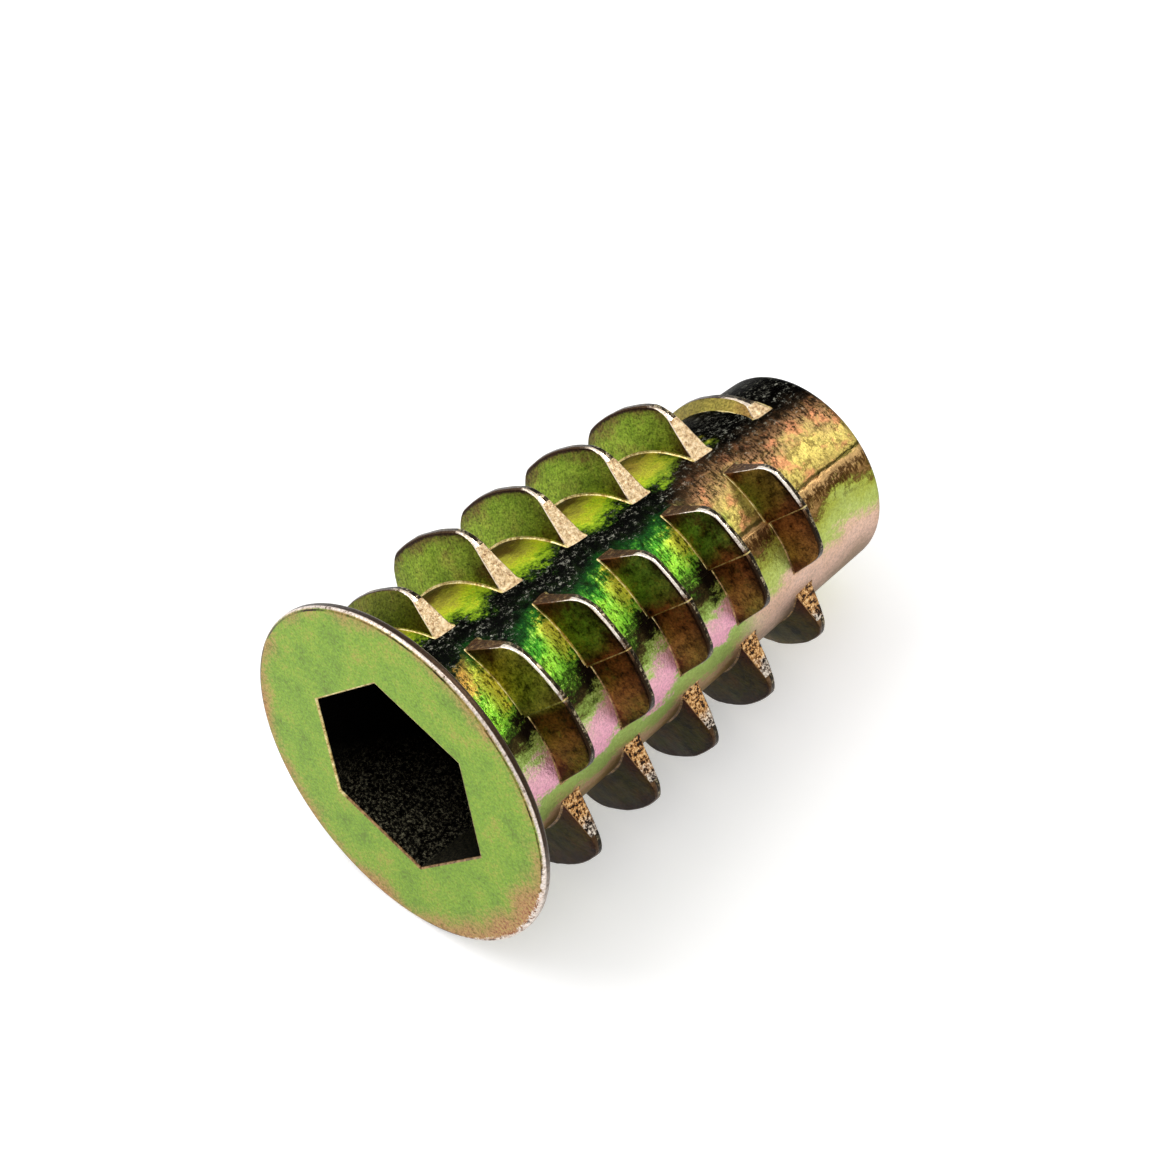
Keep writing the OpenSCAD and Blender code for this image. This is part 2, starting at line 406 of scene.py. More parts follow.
# %% [markdown]
# A bar can only bend where it has corners, so it is sliced across every quarter of a millimetre.
# With `clear_inner` or `clear_outer`, a cut also throws one side away: that gives the two halves of
# the fins that the dies divide.

# %% Slice it, and halve a copy
SLICE_W = 0.25


def slice_across(piece):
    edit(piece)
    most = round(FIN_W / 2 / SLICE_W)
    for n in range(-most, most + 1):
        slice_at((n * SLICE_W, 0, 0), (1, 0, 0))
    done()


def half_of(piece, side):
    focus(piece)
    bpy.ops.object.duplicate(linked=False)
    half = bpy.context.object
    edit(half)
    slice_at((0, 0, 0), (1, 0, 0), use_fill=True, clear_inner=side > 0, clear_outer=side < 0)
    done()
    return half


upper_half, lower_half = half_of(blank, -1), half_of(blank, 1)

# %% [markdown]
# Between the two halves a hair of metal squeezed out where the dies met. It is a thin slice from
# the middle of the fin, fattened so that it stands a few hundredths of a millimetre proud of both
# flanks and of the crest.

# %% Take the thin slice from the middle
FLASH_T, FLASH_RAISED = 0.02, 0.025
focus(blank)
bpy.ops.object.duplicate(linked=False)
flash = bpy.context.object
edit(flash)
for side in (-1, 1):
    slice_at((side * FLASH_T / 2, 0, 0), (side, 0, 0), use_fill=True, clear_outer=True)
bpy.ops.mesh.select_all(action="SELECT")
bpy.ops.transform.shrink_fatten(value=FLASH_RAISED)
done()
dress(flash, lambda face: "root_skin")
for bar in (blank, upper_half, lower_half):
    slice_across(bar)
    print(bar.name, "has", len(bar.data.polygons), "faces")

# %% [markdown]
# ## Laying the fins on the thread
#
# Blender's Bend tool needs a window, so a short function does the bending. A point's distance
# along the bar becomes an angle round the axis, its height is measured from the tapering core,
# and the thread's pitch carries it along the axis. Where a die would catch on the slanting flank,
# that flank is straight: at the root facing the flange above the parting line, and over the crest
# and the flank facing the tip below it. The small step this leaves in the middle of a divided
# fin is a mark of how the insert is made.

# %% Wrap a bar round the core
SPLIT_ROW_W, WHOLE_ROW_W = (6.9, 4.6), (6.4, 5.9)


def rise(angle):
    return PITCH * angle / (2 * math.pi)


def wrap(piece, i, side):
    """Bends a straight fin, or the half of one on a side, round the core as fin number i. The
    slice between the halves reaches as far as the half that stands out further."""
    z, turn = fin_z(i), i * math.pi / 2
    low, high = SPLIT_ROW_W if i % 2 == 0 else WHOLE_ROW_W
    width = low + (high - low) * z / LENGTH
    core = core_r(z)
    reach = math.asin(width / 2 / core)
    between = side is None
    for v in piece.data.vertices:
        x, y, s = v.co
        x *= width / FIN_W
        if between:
            side = -1 if s < 0 else 1
        tall = crest_r(z + rise(math.asin(x / crest_r(z)))) - core
        r = core + y * (tall / FIN_H if y > 0 else 1)
        angle = math.asin(x / r)
        crest = 0 if side > 0 else rise(angle)
        root = rise(angle)
        if s < 0 and side < 0:
            root = rise(-reach / 2)
        if s > 0 and side > 0:
            root = rise(reach / 2)
        share = min(max(y / FIN_H, 0), 1)
        v.co = (r * math.cos(turn + angle), r * math.sin(turn + angle),
                z + s + root + (crest - root) * share)


# %% Set the fins
first = math.ceil((FLANGE_T + FLANGE_FILLET_R + ROOT_FORE - FIRST_FIN_Z) / (PITCH / 4))
last = math.floor((LENGTH - TIP_EDGE_R - ROOT_AFT - FIRST_FIN_Z) / (PITCH / 4))
fins = []
for i in range(first, last + 1):
    if crest_r(fin_z(i)) - core_r(fin_z(i)) < LEAST_FIN_H:
        continue
    halves = (upper_half, -1), (flash, None), (lower_half, 1)
    for bar, side in halves if i % 2 == 0 else ((blank, 0),):
        focus(bar)
        bpy.ops.object.duplicate(linked=False)
        wrap(bpy.context.object, i, side)
        fins.append(bpy.context.object)
print("Pieces set round the core:", len(fins))
for bar in (blank, upper_half, lower_half, flash):
    bpy.data.objects.remove(bar)

# %% [markdown]
# Molten zinc doesn't fill a die quite evenly, and the plating bath eats at the edges. A Displace
# modifier with a soft cloud texture moves the fins' surfaces by a few hundredths of a millimetre,
# which is enough to keep their edges from looking machined.

# %% Make the fins a little uneven
focus(fins[0])
for piece in fins:
    piece.select_set(True)
bpy.ops.object.join()
thread = bpy.context.object
clouds = bpy.data.textures.new("uneven", "CLOUDS")
clouds.noise_scale = 0.9
uneven = thread.modifiers.new("Uneven", "DISPLACE")
uneven.texture, uneven.strength, uneven.mid_level = clouds, 0.07, 0.5
focus(thread)
bpy.ops.object.modifier_apply(modifier=uneven.name)
print("Thread faces:", len(thread.data.polygons))

# %% [markdown]
# ## The line where the dies meet
#
# A trace of metal creeps between the two dies and leaves a fine raised line on both sides of the
# casting. It is a thin bar, sunk into the core, sliced, and nudged here and there by a seeded
# random amount so that it wanders as the real one does.

# %% Model the parting line
SEAM_W, SEAM_RAISED, SEAM_SUNK, SEAM_EDGE = 0.16, 0.05, 0.3, 0.04
SEAM_STEP, SEAM_SIDEWAYS, SEAM_LOWEST, SEAM_HIGHEST = 0.3, 0.04, -0.04, 0.015
RIDGE_Z, RIDGE_WIDER, RIDGE_RAISED = 20.0, 3.2, 0.08
wander = random.Random(8)
begin()
seam_z0, seam_z1 = FLANGE_T + 0.25, LENGTH - TIP_EDGE_R
bpy.ops.mesh.primitive_cube_add(size=1, location=(0, 0, (seam_z0 + seam_z1) / 2),
                                scale=(SEAM_RAISED + SEAM_SUNK, SEAM_W, seam_z1 - seam_z0))
seam = bpy.context.object
seam.name = "seam"
bpy.ops.object.transform_apply()
edit(seam, "EDGE")
pick(seam, "edges", lambda e: abs(e.verts[0].co.z - e.verts[1].co.z) > 1 and middle(e).x > 0)
bpy.ops.mesh.bevel(offset=SEAM_EDGE, segments=2, affect="EDGES")
for n in range(1, math.ceil((seam_z1 - seam_z0) / SEAM_STEP)):
    slice_at((0, 0, seam_z0 + n * SEAM_STEP), (0, 0, 1))
done()
shift = {}
for v in seam.data.vertices:
    side, lift = shift.setdefault(round(v.co.z, 3), (
        wander.uniform(-SEAM_SIDEWAYS, SEAM_SIDEWAYS), wander.uniform(SEAM_LOWEST, SEAM_HIGHEST)))
    ridge = min(max(v.co.z - RIDGE_Z, 0), 1)
    v.co.x += core_r(v.co.z) + SEAM_RAISED - (SEAM_RAISED + SEAM_SUNK) / 2 + lift
    v.co.x += RIDGE_RAISED * ridge
    v.co.y = v.co.y * (1 + (RIDGE_WIDER - 1) * ridge) + side * (1 + ridge)
dress(seam, lambda face: "core_skin")
focus(seam)
bpy.ops.object.duplicate(linked=False)
other_seam = bpy.context.object
other_seam.data.transform(Matrix.Rotation(math.pi, 4, "Z"))

# %% Join and lay down
begin()
for piece in (thread, seam, other_seam, body):
    piece.select_set(True)
bpy.context.view_layer.objects.active = body
bpy.ops.object.join()
body.data.transform(lay_down)
edit(body)
bpy.ops.mesh.select_all(action="SELECT")
bpy.ops.mesh.normals_make_consistent(inside=False)
done()
focus(body)
bpy.ops.object.shade_smooth_by_angle(angle=math.radians(38))
flat = body.modifiers.new("Flat", "WEIGHTED_NORMAL")
flat.keep_sharp = True
bpy.ops.object.modifier_apply(modifier=flat.name)
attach(body, "root")
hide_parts("insert_body")
print("Insert faces:", len(body.data.polygons))

# %% [markdown]
# ## Colours and nodes
#
# A material is a sheet of nodes. Colours are written as they look on a screen, from 0 to 255, and
# `paint` turns them into the linear values that Cycles counts in. `node` puts one shader node on
# the sheet, sets it up and links what is given as a socket. The short functions after it are named
# for what they do, so that a finish reads almost like a recipe.

# %% Helpers for materials
def paint(red, green, blue):
    return tuple((c / 255 / 12.92 if c < 10 else ((c / 255 + 0.055) / 1.055) ** 2.4)
                 for c in (red, green, blue)) + (1,)


def node(kind, ins=(), **settings):
    made = sheet.nodes.new("ShaderNode" + kind)
    for name, value in settings.items():
        setattr(made, name, value)
    for name, value in dict(ins).items():
        if isinstance(value, bpy.types.NodeSocket):
            sheet.links.new(value, made.inputs[name])
        else:
            made.inputs[name].default_value = value
    return made


def maths(operation, *values):
    return node("Math", dict(enumerate(values)), operation=operation).outputs[0]


def minus(first, second):
    return maths("SUBTRACT", first, second)


def times(first, *others):
    for other in others:
        first = maths("MULTIPLY", first, other)
    return first


def grow(value, low, high):
    """0 below low, 1 above high, and a soft change between them."""
    return node("MapRange", {"Value": value, "From Min": low, "From Max": high},
                interpolation_type="SMOOTHSTEP").outputs["Result"]


def fade(value, low, high):
    """1 below low, 0 above high, and a soft change between them."""
    return minus(1.0, grow(value, low, high))


def near(value, centre, inside, outside):
    """1 within the distance inside from the centre, and 0 beyond the distance outside."""
    return fade(maths("ABSOLUTE", minus(value, centre)), inside, outside)


def mix(share, first, second, blend="MIX"):
    return node("Mix", {"Factor": share, "A": first, "B": second}, data_type="RGBA",
                blend_type=blend).outputs["Result"]


def ramp(value, *stops):
    """A colour ramp through stops, each a place from 0 to 1 and a colour."""
    made = node("ValToRGB", {"Fac": value})
    line = made.color_ramp.elements
    line.remove(line[-1])
    line[0].position, line[0].color = stops[0][0], paint(*stops[0][1])
    for place, colour in stops[1:]:
        line.new(place).color = paint(*colour)
    return made.outputs["Color"]


# %% [markdown]
# ## Where on the insert are we?
#
# A pattern that follows the casting needs the casting's own measures, not the table's. The
# Mapping node, set to Texture, undoes the laying down: it gives back millimetres on the upright
# insert. From those come the distance along the axis, the radius, and several ways to say where
# round the axis we are. `half` is the angle from the nearest parting line, the same on both halves
# of the casting: 45 degrees to either side of it is the middle of a bare strip. `side` is -1 at one
# row of whole fins and 1 at the other. `valley` runs from 0 at one fin to 1 at the next.

# %% Measures of the insert
def measure():
    object_place = node("TexCoord").outputs["Object"]
    place = node("Mapping", {"Vector": object_place, "Location": drive["pos_m"],
                             "Rotation": turned.to_euler(), "Scale": (0.001,) * 3},
                 vector_type="TEXTURE").outputs["Vector"]
    x, y, z = node("SeparateXYZ", {"Vector": place}).outputs
    radius = maths("SQRT", maths("ADD", times(x, x), times(y, y)))
    turns = times(maths("ARCTAN2", y, x), 0.5 / math.pi)
    pitches = times(minus(z, FIRST_FIN_Z), 1 / PITCH)
    return SimpleNamespace(
        place=place, along=z, radius=radius, side=maths("DIVIDE", y, radius),
        half=times(maths("ARCTANGENT", maths("DIVIDE", y, x)), 180 / math.pi),
        round=times(turns, 360), valley=maths("FRACT", minus(pitches, turns)))


def begin_skin(name):
    """Opens the sheet of a finish, and measures the insert on it."""
    global sheet, at
    skins[name].use_nodes = True
    sheet = skins[name].node_tree
    at = measure()


def noise(scale, detail=4.0, rough=0.6, stretch=(1, 1, 1)):
    place = node("Mapping", {"Vector": at.place, "Scale": stretch}).outputs["Vector"]
    return node("TexNoise", {"Vector": place, "Scale": scale, "Detail": detail,
                             "Roughness": rough}).outputs["Fac"]


def sway(value, *noises):
    """Moves a value to and fro by noises, each given with its reach."""
    for texture, reach in noises:
        value = maths("ADD", value, times(minus(texture, 0.5), 2 * reach))
    return value


def under_crest():
    """Distance from the cone of the crests, in mm: 0 on the crests and below 0 under them."""
    taper = times(at.along, (CREST_R_FLANGE - CREST_R_TIP) / LENGTH)
    return minus(maths("ADD", at.radius, taper), CREST_R_FLANGE)


def bands(angle, *stops):
    """A colour ramp over an angle from -90 to 90 degrees."""
    share = maths("ADD", maths("DIVIDE", angle, 180), 0.5)
    return ramp(share, *[(degrees / 180 + 0.5, colour) for degrees, colour in stops])


# %% [markdown]
# ## The plating itself
#
# Under every colour lies the same stuff: metal that reflects in the plating's tint. So all
# finishes end in the same nodes. A fine grain darkens the colour here and there and, with a coarser
# one, lifts the surface by a few hundredths of a millimetre, as on cast zinc. Metal turns
# mirror-like at its edges; `edge` says how much, because a dark or rough plating does so less.

# %% The last nodes of every finish
def plated(name, colour, rough, bump, grain=0.5, edge=1.0):
    coarse, fine = noise(3.0, 3, 0.6), noise(9.0, 3, 0.75)
    shade = ramp(fine, (0.30, (120, 120, 120)), (0.50, (215, 215, 215)), (0.66, (255, 255, 255)))
    height = maths("ADD", times(coarse, 0.7), fine)
    lifted = node("Bump", {"Height": height, "Strength": bump, "Distance": 0.00006})
    shader = sheet.nodes["Principled BSDF"]
    sheet.links.new(mix(grain, colour, shade, "MULTIPLY"), shader.inputs["Base Color"])
    sheet.links.new(lifted.outputs["Normal"], shader.inputs["Normal"])
    shader.inputs["Metallic"].default_value = 1.0
    shader.inputs["Roughness"].default_value = rough
    shader.inputs["Specular Tint"].default_value = (edge, edge, edge, 1)
    print("Finish", name, "has", len(sheet.nodes), "nodes")


# %% [markdown]
# ## The core
#
# Yellow zinc plating is a film so thin that its colour depends on its thickness, as in a soap
# bubble. The film follows the shape: it changes in bands along the casting. The bare strips on top
# are painted nearly black, a painted dark reflection, and next to the whole fins' feet the core is
# painted brown, a painted shade from the fins beside it. Beside the black strips the metal turns
# green and yellow, over the parting line brown, and then pale green and pink. Towards the tip the
# bands fade to gold and tan.
#
# One colour ramp over the angle would give straight, airbrushed bands. So the angle is swayed
# first: by streaks drawn out along the insert, by larger blots, by a fine noise, and by a slow wave
# from fin to fin.

# %% The core's bands
begin_skin("core_skin")
streaks = noise(1.3, 5, 0.7, (1.6, 1.6, 0.8))
blots = noise(0.5, 3, 0.5)
fine = noise(8.0, 3, 0.8)
wave = times(maths("SINE", times(minus(at.valley, 0.65), 2 * math.pi)), 4)
swayed = sway(maths("ADD", at.half, wave), (streaks, 14), (blots, 8), (fine, 9))
# The near-black stops from -50 to -38 degrees paint a dark reflection on the bare strips, and the
# brown stops at -90, -81 and 90 degrees paint shade at the whole fins' feet.
shank = bands(
    swayed, (-90, (104, 82, 46)), (-81, (128, 104, 50)), (-71, (214, 206, 80)),
    (-64, (232, 240, 66)), (-58, (176, 216, 54)), (-53, (40, 66, 24)), (-50, (12, 12, 11)),
    (-38, (12, 14, 12)),
    (-31, (24, 66, 26)), (-24, (70, 150, 40)), (-16, (150, 205, 60)), (-8, (130, 205, 56)),
    (-3, (84, 120, 40)), (2, (44, 36, 24)), (8, (84, 74, 40)), (13, (150, 176, 84)),
    (17, (184, 212, 118)), (22, (240, 186, 195)), (35, (244, 178, 200)), (39, (168, 196, 108)),
    (50, (170, 186, 106)), (55, (208, 170, 136)), (62, (176, 146, 98)), (90, (104, 82, 46)))
# On the tip the dark stops from -52 to -44 degrees paint the same dark reflection on the bare
# strips, and the brown at -90 and 90 degrees paints shade at the fins' feet.
tip = bands(
    swayed, (-90, (140, 112, 60)), (-78, (225, 195, 90)), (-66, (240, 235, 85)),
    (-58, (150, 180, 60)), (-52, (40, 32, 22)), (-44, (70, 50, 34)), (-34, (150, 112, 78)),
    (-25, (176, 150, 92)), (-16, (212, 192, 104)), (-8, (200, 178, 96)), (3, (176, 136, 84)),
    (9, (110, 84, 44)), (14, (176, 184, 80)), (28, (190, 205, 115)), (36, (236, 198, 172)),
    (45, (242, 206, 186)), (60, (204, 176, 154)), (90, (140, 112, 60)))
tipwards = grow(sway(at.along, (blots, 2), (fine, 1)), 14.8, 17.2)
shankwards = minus(1.0, tipwards)
colour = mix(tipwards, shank, tip)

# %% [markdown]
# The valleys between the fins hold their own colours, and painted light. Along the next fin's root
# a yellow band is a painted highlight, and just below the parting line the valley is painted dark
# brown, a painted shade.
# Near the flange there is a touch of orange. One side of the tip is painted black, a painted dark
# reflection like the bare strips.

# %% Pools in the valleys, and the sooty tip
orange = times(fade(at.along, 2.0, 3.2), near(swayed, -29, 3, 7), 0.7)
colour = mix(orange, colour, paint(215, 160, 76))
# Painted shade: the valley just below the parting line, against the next fin, is darkened.
shaded = times(near(swayed, 5, 5, 10), near(at.valley, 0.76, 0.08, 0.2), shankwards)
colour = mix(shaded, colour, paint(28, 22, 16))
# Painted highlight: a yellow band along the next fin's root.
painted_valley_highlight = times(near(swayed, -17, 5, 11), grow(at.valley, 0.55, 0.80), fade(at.valley, 0.86, 0.95),
              shankwards)
colour = mix(painted_valley_highlight, colour, paint(250, 240, 84))
# Painted dark reflection: one side of the tip is painted black, like the bare strips.
painted_dark_tip = times(near(sway(at.round, (streaks, 20), (fine, 12)), -72, 22, 36),
              grow(sway(at.along, (streaks, 4), (blots, 3)), 16.6, 19.2))
colour = mix(painted_dark_tip, colour, paint(12, 11, 10))

# %% [markdown]
# Close up, the black is full of bright specks, where high grains of the casting are rubbed clean.
# The green is streaked with dark scratches that run round the core, as the fins do: the noise is
# squeezed along the axis to draw them. On the tip the film has wrinkled: cells of a Voronoi
# texture, warped by noise, give a net of fine creases between patches of orange. A raised ridge,
# cracked and brown along its lower side, shows where the dies met.

# %% Specks and scratches
black = maths("MAXIMUM", near(swayed, -44, 6, 11), painted_dark_tip)
specks = times(grow(noise(4.5, 4, 0.95, (1.4, 1.4, 0.8)), 0.56, 0.615), black,
               grow(streaks, 0.42, 0.54))
colour = mix(specks, colour, paint(170, 170, 155))
scratches = noise(7.0, 3, 0.8, (0.35, 0.35, 1.1))
scratched = times(near(swayed, -22, 16, 26), minus(1.0, times(tipwards, 0.5)))
dug = times(grow(maths("ADD", times(scratches, 0.7), times(fine, 0.3)), 0.50, 0.56), scratched)
colour = mix(times(dug, 0.85), colour, paint(20, 30, 12))
# Painted highlights: bright yellow-green streaks along the same scratches in the green.
painted_streak_highlights = times(fade(scratches, 0.36, 0.42), near(swayed, -14, 10, 18), shankwards)
colour = mix(times(painted_streak_highlights, 0.5), colour, paint(215, 250, 110))

# %% Wrinkles and the ridge on the tip
patchy = times(grow(noise(1.1, 3, 0.6), 0.52, 0.64), near(at.half, -20, 14, 26), tipwards)
colour = mix(times(patchy, 0.75), colour, paint(206, 138, 96))
swirl = node("TexNoise", {"Vector": at.place, "Scale": 0.9, "Detail": 5.0, "Roughness": 0.7})
warped = node("VectorMath", {0: swirl.outputs["Color"], 1: (2.2,) * 3, 2: at.place},
              operation="MULTIPLY_ADD").outputs["Vector"]
net = node("TexVoronoi", {"Vector": warped, "Scale": 1.1}, feature="DISTANCE_TO_EDGE")
wrinkles = times(fade(net.outputs["Distance"], 0.0, 0.13), grow(at.along, 15.0, 18.0),
                 near(at.half, -12, 22, 34), grow(streaks, 0.35, 0.55), 0.75)
colour = mix(wrinkles, colour, paint(84, 66, 30))
grimy = times(grow(maths("ADD", times(scratches, 0.5), times(fine, 0.5)), 0.48, 0.54),
              near(swayed, -38, 8, 16), tipwards)
colour = mix(times(grimy, 0.9), colour, paint(30, 24, 16))
on_ridge = sway(at.half, (streaks, 5), (blots, 3), (fine, 4))
colour = mix(times(near(on_ridge, 0.5, 2.5, 4.5), tipwards, 0.8), colour, paint(206, 166, 112))
cracked = times(near(on_ridge, 4.5, 2.5, 5.0), grow(scratches, 0.42, 0.52), tipwards)
colour = mix(times(cracked, 0.9), colour, paint(70, 44, 20))
# Painted shade: a thin dark line beside the ridge, as in a groove.
on_ridge = sway(at.half, (streaks, 2.5), (fine, 1))
colour = mix(times(near(on_ridge, -3.6, 0.4, 1.6), tipwards, 0.85), colour, paint(60, 58, 20))
plated("core_skin", colour, 0.36, 0.6, edge=0.4)

# %% [markdown]
# ## The flange
#
# The flat face takes the plating most evenly: an apple green with soft, fine clouds. Only near
# the rim it turns tan, most on one side, where the edge has been handled. The rounded rim itself
# is painted almost white, a painted highlight, and the metal behind it is painted dark, a painted
# shade. All of this depends on the radius, swayed a little.

# %% Finish the flange
begin_skin("flange_skin")
cloud, fine = noise(0.5, 5, 0.65), noise(5.0, 4, 0.85)
green = ramp(sway(cloud, (fine, 0.5)), (0.26, (116, 136, 54)), (0.42, (130, 168, 59)),
             (0.56, (145, 180, 61)), (0.76, (180, 172, 82)))
handled = near(at.round, 78, 12, 48)
brushed = grow(maths("ABSOLUTE", at.round), 95, 135)
rim = sway(at.radius, (noise(0.4, 3, 0.6), 1.2), (fine, 1.6))
rim = maths("ADD", rim, maths("ADD", times(handled, 1.0), times(brushed, 0.4)))
tan = ramp(fine, (0.40, (140, 78, 50)), (0.50, (196, 146, 100)), (0.62, (186, 168, 92)))
colour = mix(grow(rim, 7.1, 8.3), green, tan)
outline = times(near(sway(at.radius, (fine, 0.04)), 7.69, 0.02, 0.05), grow(cloud, 0.35, 0.6))
colour = mix(outline, colour, paint(50, 40, 32))
wider = times(handled, grow(fine, 0.4, 0.6), 0.2)
# Painted highlight: the rounded rim turns almost white.
painted_rim_highlight = grow(maths("ADD", at.radius, wider), 7.72, 7.78)
pale = ramp(fine, (0.36, (110, 90, 76)), (0.45, (232, 212, 196)), (0.60, (250, 240, 232)))
colour = mix(painted_rim_highlight, colour, pale)
# Painted shade: the metal behind the rim is darkened.
painted_rim_shade = times(grow(sway(at.along, (fine, 0.05)), 0.15, 0.2), painted_rim_highlight,
               minus(1.0, times(handled, 0.8)))
colour = mix(painted_rim_shade, colour, paint(62, 48, 36))
plated("flange_skin", colour, 0.38, 0.3, 0.6)

# %% [markdown]
# ## The socket and the bore
#
# The socket's walls are painted black, a painted shade for the deep recess, and grey grains are
# painted only on the walls at the bottom, where the light reaches them. The bolt thread is painted
# bright near the tip's mouth and dark further in, a painted shade deeper in the bore.

# %% Finish the socket and the bore
begin_skin("socket_skin")
fine = noise(8.0, 3, 0.9)
deep = node("VectorMath", {0: at.place, 1: (math.cos(RESTING_STRIP), math.sin(RESTING_STRIP),
                                            -0.45)}, operation="DOT_PRODUCT").outputs["Value"]
# Painted light and shade: grey grains only on the bottom walls, and black walls elsewhere.
grains_where_lit = times(grow(fine, 0.50, 0.64), grow(deep, 0.8, 3.4))
plated("socket_skin", mix(grains_where_lit, paint(7, 6, 5), paint(165, 160, 132)), 0.5, 0.8)

begin_skin("bore_skin")
cut = ramp(noise(4.0, 4, 0.8), (0.36, (96, 80, 40)), (0.50, (160, 140, 74)),
           (0.64, (196, 184, 120)))
# Painted shade: the bore turns dark further in, and stays bright near the tip's mouth.
plated("bore_skin", mix(fade(at.along, 10, 21), cut, paint(12, 10, 7)), 0.3, 0.4)

# %% [markdown]
# ## The fins' flanks
#
# The flanks look towards each other, so they are mottled and darker. One row of whole fins is
# green and the other umber. On the divided fins between them, the half above the parting line is
# brown with a green middle, and the half below it turns from russet to an olive gold. `side` tells
# all these apart. Each tone has its own ramp over the same noise.

# %% The flanks' four tones
begin_skin("flank_skin")
cloud, fine = noise(0.7, 4, 0.7), noise(6.0, 4, 0.85)
toned = sway(cloud, (fine, 0.3))
green = ramp(toned, (0.26, (128, 160, 44)), (0.50, (160, 186, 62)), (0.74, (184, 184, 78)))
olive = ramp(toned, (0.26, (180, 160, 66)), (0.42, (156, 180, 74)), (0.54, (140, 180, 72)),
             (0.72, (170, 140, 68)))
russet = ramp(toned, (0.26, (150, 116, 60)), (0.44, (176, 112, 62)), (0.58, (190, 120, 68)),
              (0.74, (140, 120, 60)))
gold = ramp(toned, (0.26, (140, 152, 68)), (0.44, (196, 172, 86)), (0.58, (200, 160, 82)),
            (0.74, (164, 172, 76)))
umber = ramp(toned, (0.30, (62, 70, 12)), (0.50, (80, 72, 16)), (0.70, (96, 66, 24)))
swayed_side = sway(at.side, (cloud, 0.2), (fine, 0.08))
upper = mix(near(swayed_side, -0.26, 0.10, 0.26), russet, olive)
lower = mix(grow(swayed_side, 0.10, 0.40), russet, gold)
tone = mix(grow(at.side, -0.77, -0.64), green, upper)
tone = mix(grow(at.side, -0.02, 0.02), tone, lower)
tone = mix(grow(at.side, 0.68, 0.78), tone, umber)
golden = times(fade(at.along, 4.6, 6.6), near(at.side, -0.3, 0.3, 0.36), 0.9)
tone = mix(golden, tone, paint(250, 226, 120))
tawny = times(grow(at.along, 18.0, 18.6), near(at.side, -0.05, 0.66, 0.72), 0.65)
tone = mix(tawny, tone, paint(196, 128, 74))
dimmed = times(fade(at.along, 3.6, 4.6), fade(at.side, -0.77, -0.64), 0.55)
tone = mix(dimmed, tone, paint(100, 70, 40))

# %% [markdown]
# Towards the crest every flank turns reddish brown, and right under it there is a dark line; the
# ends of the fins have the same dark border. `under_crest` tells how far below the crest we are.

# %% Darken the flanks towards crest and ends
height = under_crest()
browned = grow(sway(height, (cloud, 1.2), (fine, 0.6)), -0.9, 0.0)
brown = mix(grow(at.side, -0.77, -0.64), paint(100, 56, 44), paint(66, 34, 26))
colour = mix(times(browned, 0.8), tone, brown)
patches = ramp(noise(1.6, 5, 0.8), (0.36, (100, 92, 82)), (0.48, (215, 212, 205)),
               (0.60, (255, 255, 255)))
colour = mix(grow(at.side, -1.2, -0.7), colour, patches, "MULTIPLY")
aside = maths("ABSOLUTE", at.side)
whole_end = times(fade(sway(aside, (cloud, 0.10), (fine, 0.06)), 0.80, 0.965),
                  grow(aside, 0.66, 0.70))
colour = mix(times(whole_end, 0.9), colour, paint(96, 50, 38))
split_end = grow(sway(aside, (cloud, 0.25), (fine, 0.12)), 0.36, 0.56)
colour = mix(times(split_end, fade(aside, 0.64, 0.68), 0.85), colour, paint(92, 50, 30))
colour = mix(times(grow(at.along, 19.6, 20.2), 0.7), colour, paint(160, 128, 72))
colour = mix(grow(sway(height, (fine, 0.12)), -0.24, -0.12), colour, paint(52, 32, 20))
plated("flank_skin", colour, 0.42, 0.35, 1.0, edge=0.8)

# %% [markdown]
# ## The fins' ends
#
# The sloping ends are the roughest places, because the die tears the metal there a little. On one
# side they are an even tan, on the divided fins a dark brown, and on the other side gold with
# black cracks, which turns to cream near the crest. It is one fine noise every time; only the
# ramps differ.

# %% Finish the ends
begin_skin("end_skin")
fine = noise(6.0, 3, 0.8)
smooth = ramp(fine, (0.32, (140, 104, 72)), (0.46, (204, 174, 130)), (0.62, (240, 218, 180)))
dark = ramp(fine, (0.36, (50, 32, 20)), (0.56, (110, 76, 48)), (0.66, (190, 160, 110)))
crackled = ramp(fine, (0.43, (34, 24, 16)), (0.48, (150, 100, 58)), (0.53, (215, 160, 95)),
                (0.62, (240, 205, 150)))
creamy = ramp(fine, (0.44, (22, 18, 16)), (0.50, (150, 132, 116)), (0.58, (232, 222, 206)))
outward = grow(sway(under_crest(), (noise(1.5, 3, 0.6), 0.8)), -1.35, -0.85)
crackled = mix(outward, crackled, creamy)
colour = mix(grow(at.half, -48, -42), smooth, dark)
plated("end_skin", mix(grow(at.half, -2, 2), colour, crackled), 0.40, 0.9, 0.5)

# %% [markdown]
# ## Crests, edges and roots
#
# The crests carry painted highlights: near white where the upper halves of the fins face up to
# the light, brown lower down. Behind each crest the edge is painted nearly black, a painted shade.
# Along the roots, round the socket's mouth and on the hair of metal at the parting line a thin
# light line is painted, a painted highlight, duller on the lower side as painted shade.

# %% Finish the crests
begin_skin("crest_skin")
